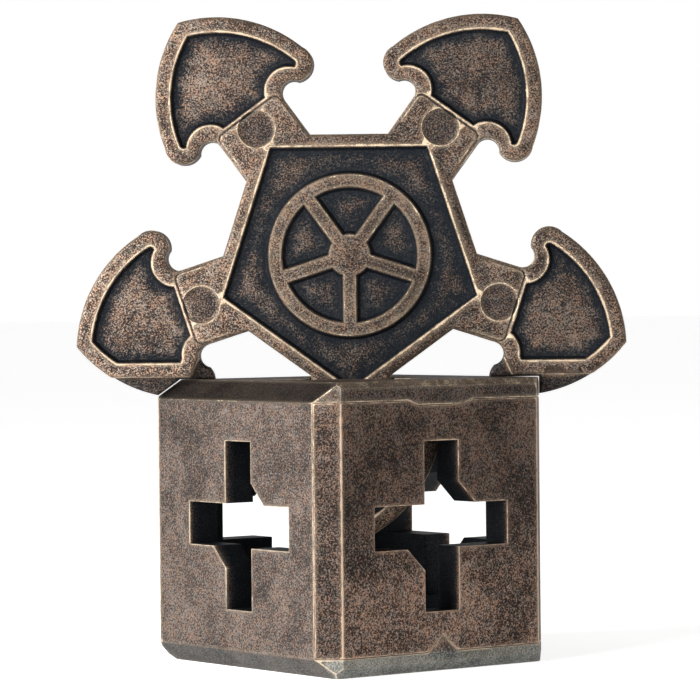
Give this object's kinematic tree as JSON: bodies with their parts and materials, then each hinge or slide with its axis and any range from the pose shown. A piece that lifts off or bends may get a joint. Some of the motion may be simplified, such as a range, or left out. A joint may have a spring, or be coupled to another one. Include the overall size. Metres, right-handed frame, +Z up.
{
  "type": "interlocking cube and star gear puzzle",
  "caption": "Hollow metal cube with a cross-shaped opening in each wall and a flat star-shaped gear standing in the top opening, where it twists.",
  "frame": {"origin": "centre of the cube's base", "axes": "+Z up through the cube and the gear; the cube's walls are square to X and Y; the gear's plane at rest holds +Z and stands 50 degrees from +X towards +Y, and its emblem faces +X -Y"},
  "size_m": [0.0432, 0.0504, 0.0729],
  "materials": {
    "front_casting": "antique bronze plating, rubbed bright on the edges",
    "back_casting": "antique bronze plating, rubbed bright on the edges",
    "gear": "antique bronze plating, rubbed bright on the edges"
  },
  "bodies": {
    "cube": {"cube_casting_front": "front_casting", "cube_casting_back": "back_casting"},
    "gear": {"star_gear": "gear"}
  },
  "joints": [
    {"name": "gear_twist", "type": "hinge", "parent": "cube", "child": "gear", "pos_m": [0, 0, 0.032], "axis": [0, 0, 1], "range_deg": [-50, 40]}
  ]
}
